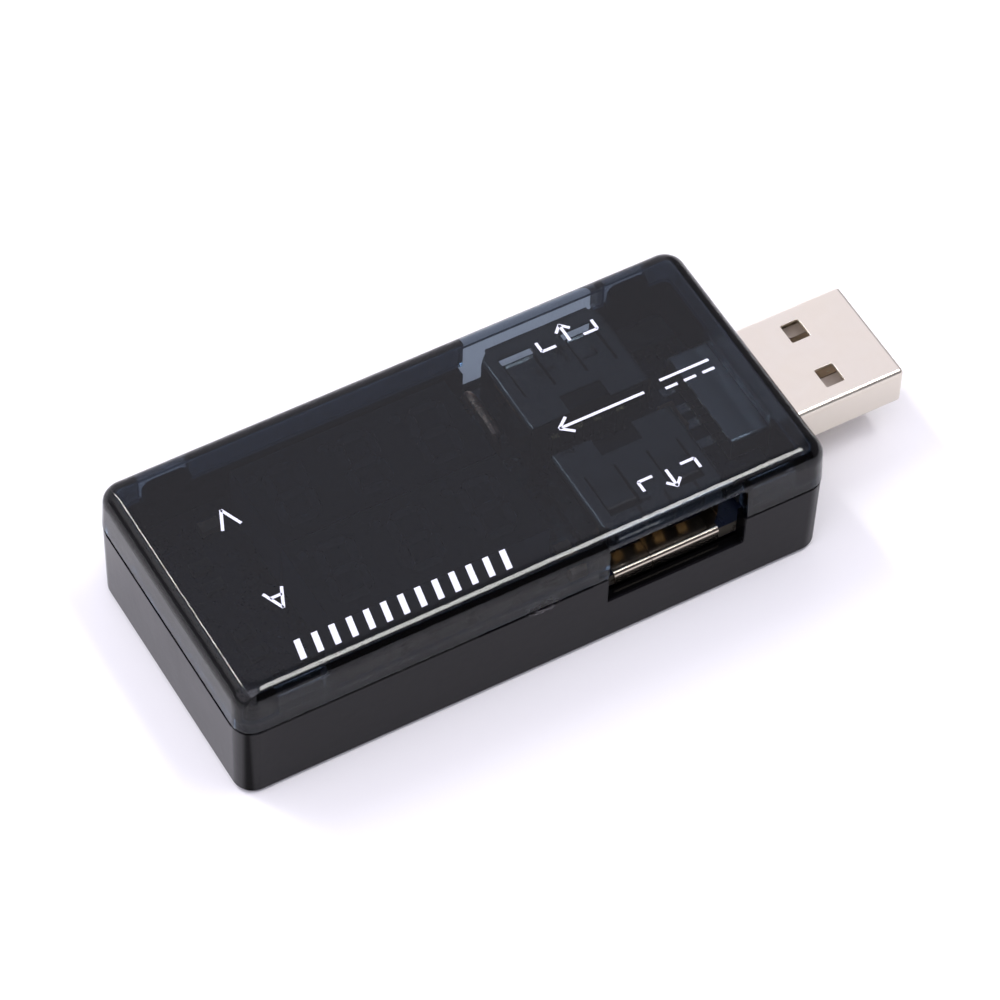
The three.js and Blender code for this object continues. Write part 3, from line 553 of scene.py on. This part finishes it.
def build_can(name):
    """socket shell for the -Y side, mouth towards -Y"""
    hx, hz, zc = SOCK_W / 2, (SOCK_Z1 - SOCK_Z0) / 2, (SOCK_Z1 + SOCK_Z0) / 2
    n, m = 5, 24
    verts = []
    rows = [(-SOCK_Y0, 0.0, 0.55), (-SOCK_Y1, 0.0, 0.55), (-SOCK_Y1, SOCK_T, 0.3), (-SOCK_Y0, SOCK_T, 0.3)]
    for y, e, r in rows:
        verts += [(x, y, z) for x, z in rounded(hx - e, hz - e, r, n, PORT_X, zc)]
    ob = new_object(name, verts, quads(rows, m, closed=True))
    tidy(ob, 0)
    t = SOCK_T - 0.02
    # corner reliefs at the mouth
    for e in (-1, 1):
        q = [(PORT_X + e * dx, y) for dx, y in ((6.6, -10.95), (7.6, -10.95), (7.6, -13.5), (5.5, -13.5), (5.5, -11.95))]
        cut(ob, prism("relief", q, 2, SOCK_Z0 - 1, SOCK_Z1 + 1))
    # lower lip turned down in front of the board's edge
    lip = bend(-12.4, SOCK_Z0 + 0.15 - 0.33, 0.33, 90, 172, 0.92, 10)
    join(ob, prism("lip", strip(lip, t - 0.02), 0, PORT_X - 5.7, PORT_X + 5.5))
    # spring tongues: windows in the top and bottom walls, each with its blade bent a little inwards
    for c in (-3.33, 3.33):
        x = PORT_X + c
        for z, d in ((SOCK_Z1 - SOCK_T / 2, -1), (SOCK_Z0 + SOCK_T / 2, 1)):
            cut(ob, box("window", x - 1.72, x + 1.72, -10.55, -5.4, z - 0.5, z + 0.5))
            line = [(-5.2, z), (-5.9, z)]
            for i in range(1, 9):
                u = i / 8
                line.append((-5.9 - 3.0 * u, z + d * 0.16 * (u * u * (3 - 2 * u))))
            line += [(-9.2, z + d * 0.17), (-9.45, z + d * 0.12), (-9.68, z - d * 0.02)]
            join(ob, prism("blade", strip(line, 0.24), 0, x - 1.47, x + 1.47))
    cut(ob, box("cut", PORT_X - 2.2, PORT_X + 2.2, -4.0, -SOCK_Y0 + 1, SOCK_Z1 - 1, SOCK_Z1 + 1),
        box("cut", PORT_X - hx + 0.6, PORT_X + hx - 0.6, -4.6, -SOCK_Y0 + 1, SOCK_Z0 - 1, SOCK_Z0 + 0.5),
        box("cut", PORT_X - 1.74, PORT_X - 1.66, -14, -4, SOCK_Z0 - 1.5, SOCK_Z0 + 0.5))
    for e in (-1, 1):
        x = PORT_X + e * (hx - SOCK_T / 2)
        join(ob, box("leg", x - SOCK_T / 2, x + SOCK_T / 2, -8.4, -6.8, 4.7, SOCK_Z0 + 1))
    return ob


# ------------------------------------------------------------------ printing on the cover
def print_piece(name, outlines, mat):
    parts = [prism("ink", o, 2, COVER_TOP - 0.015, CASE_H - 0.004) for o in outlines]
    ob = merge(name, parts)
    return finish(ob, mat, "cover")


def bar(ax, ay, bx, by, w):
    return strip([(ax, ay), (bx, by)], w)


def printing(mat):
    S = 0.30
    dx, dy = -0.16, -0.27
    # unit marks, turned half round like the displays
    def turned(cx, cy, segs, w=S, flip=True):
        k = -1 if flip else 1
        return [bar(cx + k * a, cy + k * b, cx + k * c, cy + k * d, w) for a, b, c, d in segs]
    v = turned(-22.0 + dx, 5.2 + dy, [(-0.95, 1.1, 0.0, -1.1), (0.95, 1.1, 0.0, -1.1)])
    print_piece("print_volt_mark", v, mat)
    a = turned(-22.2 + dx, -5.1 + dy, [(-0.95, -1.1, 0.0, 1.1), (0.95, -1.1, 0.0, 1.1), (-0.6, -0.35, 0.6, -0.35)])
    print_piece("print_amp_mark", a, mat)
    # an outlet symbol at each socket: an open tray and an arrow leaving it
    def outlet(cx, cy, k):
        segs = [(-3.0, 1.0, -3.0, -0.2), (-3.0, 1.0, -1.5, 1.0), (3.0, 1.0, 3.0, -0.2), (3.0, 1.0, 1.5, 1.0),
                (0.0, 1.05, 0.0, -1.0), (-0.75, -0.3, 0.05, -1.1), (0.75, -0.3, -0.05, -1.1)]
        return [bar(cx + k * p, cy + k * q, cx + k * r, cy + k * s, 0.30) for p, q, r, s in segs]
    print_piece("print_outlet_near", outlet(16.1 + dx, -10.05 + dy, 1), mat)
    print_piece("print_outlet_far", outlet(16.1 + dx, 9.6 + dy, -1), mat)
    # direct-current symbol beside a flow arrow
    cy = -0.15 + dy
    flow = [bar(10.0 + dx, cy, 19.0 + dx, cy, 0.30), bar(9.9 + dx, cy, 11.1 + dx, cy + 0.95, 0.30), bar(9.9 + dx, cy, 11.1 + dx, cy - 0.95, 0.30),
            bar(21.0 + dx, cy + 0.55, 26.3 + dx, cy + 0.55, 0.30), bar(21.0 + dx, cy - 0.55, 22.3 + dx, cy - 0.55, 0.30),
            bar(23.0 + dx, cy - 0.55, 24.3 + dx, cy - 0.55, 0.30), bar(25.0 + dx, cy - 0.55, 26.3 + dx, cy - 0.55, 0.30)]
    print_piece("print_flow_symbol", flow, mat)
    # plain level bars
    bars = []
    for i in range(13):
        x = -23.6 + i * 1.76 + dx
        y0, y1 = -12.10 + dy, -9.9 + dy
        bars.append([(x, y0), (x + 0.62, y0), (x + 1.02, y1), (x + 0.40, y1)])
    print_piece("print_level_bars", bars, mat)


# ------------------------------------------------------------------ build
make_camera()
SMOKED, BLACK = smoked_plastic(), black_plastic()
# edge=0.69 darkens the plug's long sides as painted shade
NICKEL = nickel("plug_nickel", (0.985, 0.915, 0.800), 0.27, 0.36, edge=0.69)
TIN = nickel("socket_nickel", (0.52, 0.46, 0.385), 0.15, 0.24, 0.03)
INK = ink()

finish(build_cover(), SMOKED, "cover", ["top_cover"])
finish(build_base(), BLACK, "case_and_board", ["bottom_shell"])
finish(build_plug(), NICKEL, "case_and_board", ["plug_shell"], bevel=0.03)
finish(build_can("socket_a_can"), TIN, "case_and_board", ["socket_a_shell"], bevel=0.03)
finish(mirrored(build_can("socket_b_can")), TIN, "case_and_board", ["socket_b_shell"], bevel=0.03)
printing(INK)

# the gold is set far darker than gold plate, as painted shade on contacts that sit in shade inside the sockets and the
# plug
GOLD = nickel("gold_plate", (0.27, 0.185, 0.08), 0.18, 0.28, 0.03)
PALE = nickel("plug_contact", (0.70, 0.62, 0.54), 0.2, 0.3, 0.03)
BUFF = plain("buff_nylon", (0.52, 0.455, 0.39), (0.58, 0.51, 0.44), 0.42)
NYLON = plain("black_nylon", (0.012, 0.012, 0.013), (0.018, 0.018, 0.019), 0.42)
BOARD = board_blue()
DISPLAY = display_body()
# the segments are set far darker than an unlit diffuser, as painted shade inside the case
SEGMENT = plain("display_segment", (0.044, 0.041, 0.043), (0.054, 0.050, 0.053), 0.35)
CHIP = plain("chip_body", (0.016, 0.016, 0.018), (0.024, 0.024, 0.026), 0.5, strength=0.3)
CERAMIC = plain("capacitor_ceramic", (0.34, 0.23, 0.13), (0.38, 0.27, 0.16), 0.45)
RESISTOR = plain("resistor_body", (0.02, 0.02, 0.022), (0.03, 0.03, 0.032), 0.4)
ALLOY = nickel("resistance_alloy", (0.72, 0.44, 0.27), 0.22, 0.32, 0.08)
FINISHES = [("plug_insulator", BUFF), ("_insulator", NYLON), ("plug_contact", PALE), ("_contact_", GOLD), ("_tail_", GOLD), ("circuit_board", BOARD), ("_display_case", DISPLAY),
            ("_display_diffuser", SEGMENT), ("microcontroller", CHIP), ("_chip", CHIP), ("regulator", CHIP), ("_capacitor", CERAMIC),
            ("r_resistor", RESISTOR), ("n_resistor", RESISTOR), ("shunt", ALLOY)]
for node, ob in NODES.items():
    for key, mat in FINISHES:
        if key in node:
            ob.data.materials.clear()
            ob.data.materials.append(mat)
            if ob.data.polygons:
                b = ob.modifiers.new("edges", "BEVEL")
                b.width, b.segments, b.limit_method, b.angle_limit = 0.03 * MM, 2, "ANGLE", math.radians(40)
            break


# ------------------------------------------------------------------ studio
def studio():
    me = bpy.data.meshes.new("floor")
    n, r = 64, 3.0
    verts = [(r * math.cos(2 * math.pi * i / n), r * math.sin(2 * math.pi * i / n), -0.00002) for i in range(n)]
    me.from_pydata(verts, [], [tuple(range(n))])
    floor = bpy.data.objects.new("floor", me)
    scene.collection.objects.link(floor)
    m = material("floor_paper")
    f = noise(m, 30, 3)
    output(m, surface(m, color=blended(m, f, (0.865, 0.862, 0.870), (0.875, 0.872, 0.880)), rough=0.9, specular=0.1).outputs[0])
    me.materials.append(m)

    w = bpy.data.worlds.new("studio")
    scene.world = w
    w.use_nodes = True
    w.node_tree.nodes.clear()
    co = add(w, "ShaderNodeTexCoord").outputs["Generated"]
    x, y, z = add(w, "ShaderNodeSeparateXYZ", {"Vector": co}).outputs
    ax, ay = calc(w, "ABSOLUTE", x), calc(w, "ABSOLUTE", y)

    def window(*pairs):
        value = None
        for v, a, b in pairs:
            g = ranged(w, v, a, b, 0.0, 1.0, True)
            value = g if value is None else calc(w, "MULTIPLY", value, g)
        return value

    # key softbox a little in front of overhead, and a narrow strip behind on the left
    skew = calc(w, "SUBTRACT", y, calc(w, "MULTIPLY", calc(w, "SUBTRACT", x, 0.335), 2.2))
    key = window((x, 0.225, 0.265), (x, 0.415, 0.375), (skew, -0.32, -0.26), (skew, 0.10, 0.04), (z, 0.5, 0.7))
    side_strip = window((x, -0.345, -0.325), (x, -0.268, -0.284), (y, 0.30, 0.38), (y, 0.80, 0.70), (z, 0.3, 0.4))
    left = window((x, -0.40, -0.50), (x, -0.80, -0.66), (y, 0.30, 0.40), (y, 0.78, 0.66), (z, 0.30, 0.45))
    wide = window((x, -0.20, -0.32), (y, -0.60, -0.50), (y, 0.32, 0.22), (z, 0.10, 0.24))
    # soft dome, with a dark flag in front, a shallow dip above it and less from the right
    flag = window((y, -0.28, -0.36), (x, -0.12, 0.0), (x, 0.74, 0.62), (z, 0.10, 0.18), (z, 0.84, 0.76))
    dip = window((y, 0.00, 0.12), (y, 0.50, 0.40), (x, -0.1, 0.05), (z, 0.5, 0.7))
    low = window((x, -0.55, -0.75), (z, 0.42, 0.25))
    right = window((x, 0.50, 0.66))
    fill = calc(w, "MULTIPLY", ranged(w, flag, 0, 1, 0.82, 0.09), ranged(w, dip, 0, 1, 1.0, 0.62))
    fill = calc(w, "MULTIPLY", fill, ranged(w, low, 0, 1, 1.0, 0.5))
    fill = calc(w, "MULTIPLY", fill, ranged(w, right, 0, 1, 1.0, 0.35))
    behind = window((y, 0.36, 0.50))
    fill = calc(w, "MULTIPLY", fill, ranged(w, behind, 0, 1, 1.0, 1.09))
    above = window((x, 0.16, 0.06), (x, -0.44, -0.34), (y, -0.66, -0.56), (y, -0.02, -0.12), (z, 0.4, 0.55))
    fill = calc(w, "ADD", fill, calc(w, "ADD", calc(w, "MULTIPLY", wide, 0.55), calc(w, "MULTIPLY", above, 2.1)))
    fill_bg = add(w, "ShaderNodeBackground", {"Color": (0.985, 0.955, 1.09, 1), "Strength": fill})
    lamps = calc(w, "ADD", calc(w, "MULTIPLY", key, 17.0), calc(w, "MULTIPLY", side_strip, 32.0))
    lamp_bg = add(w, "ShaderNodeBackground", {
        "Color": (1.0, 0.985, 0.975, 1), "Strength": calc(w, "ADD", lamps, calc(w, "MULTIPLY", left, 0.7))})
    both = add(w, "ShaderNodeAddShader", {0: fill_bg.outputs[0], 1: lamp_bg.outputs[0]})
    white = add(w, "ShaderNodeBackground", {"Color": (1.15, 1.15, 1.15, 1), "Strength": 1.0})
    seen = add(w, "ShaderNodeLightPath").outputs["Is Camera Ray"]
    mix = add(w, "ShaderNodeMixShader", {0: seen, 1: both.outputs[0], 2: white.outputs[0]})
    add(w, "ShaderNodeOutputWorld", {"Surface": mix.outputs[0]})
    scene.view_settings.view_transform = "Standard"


studio()
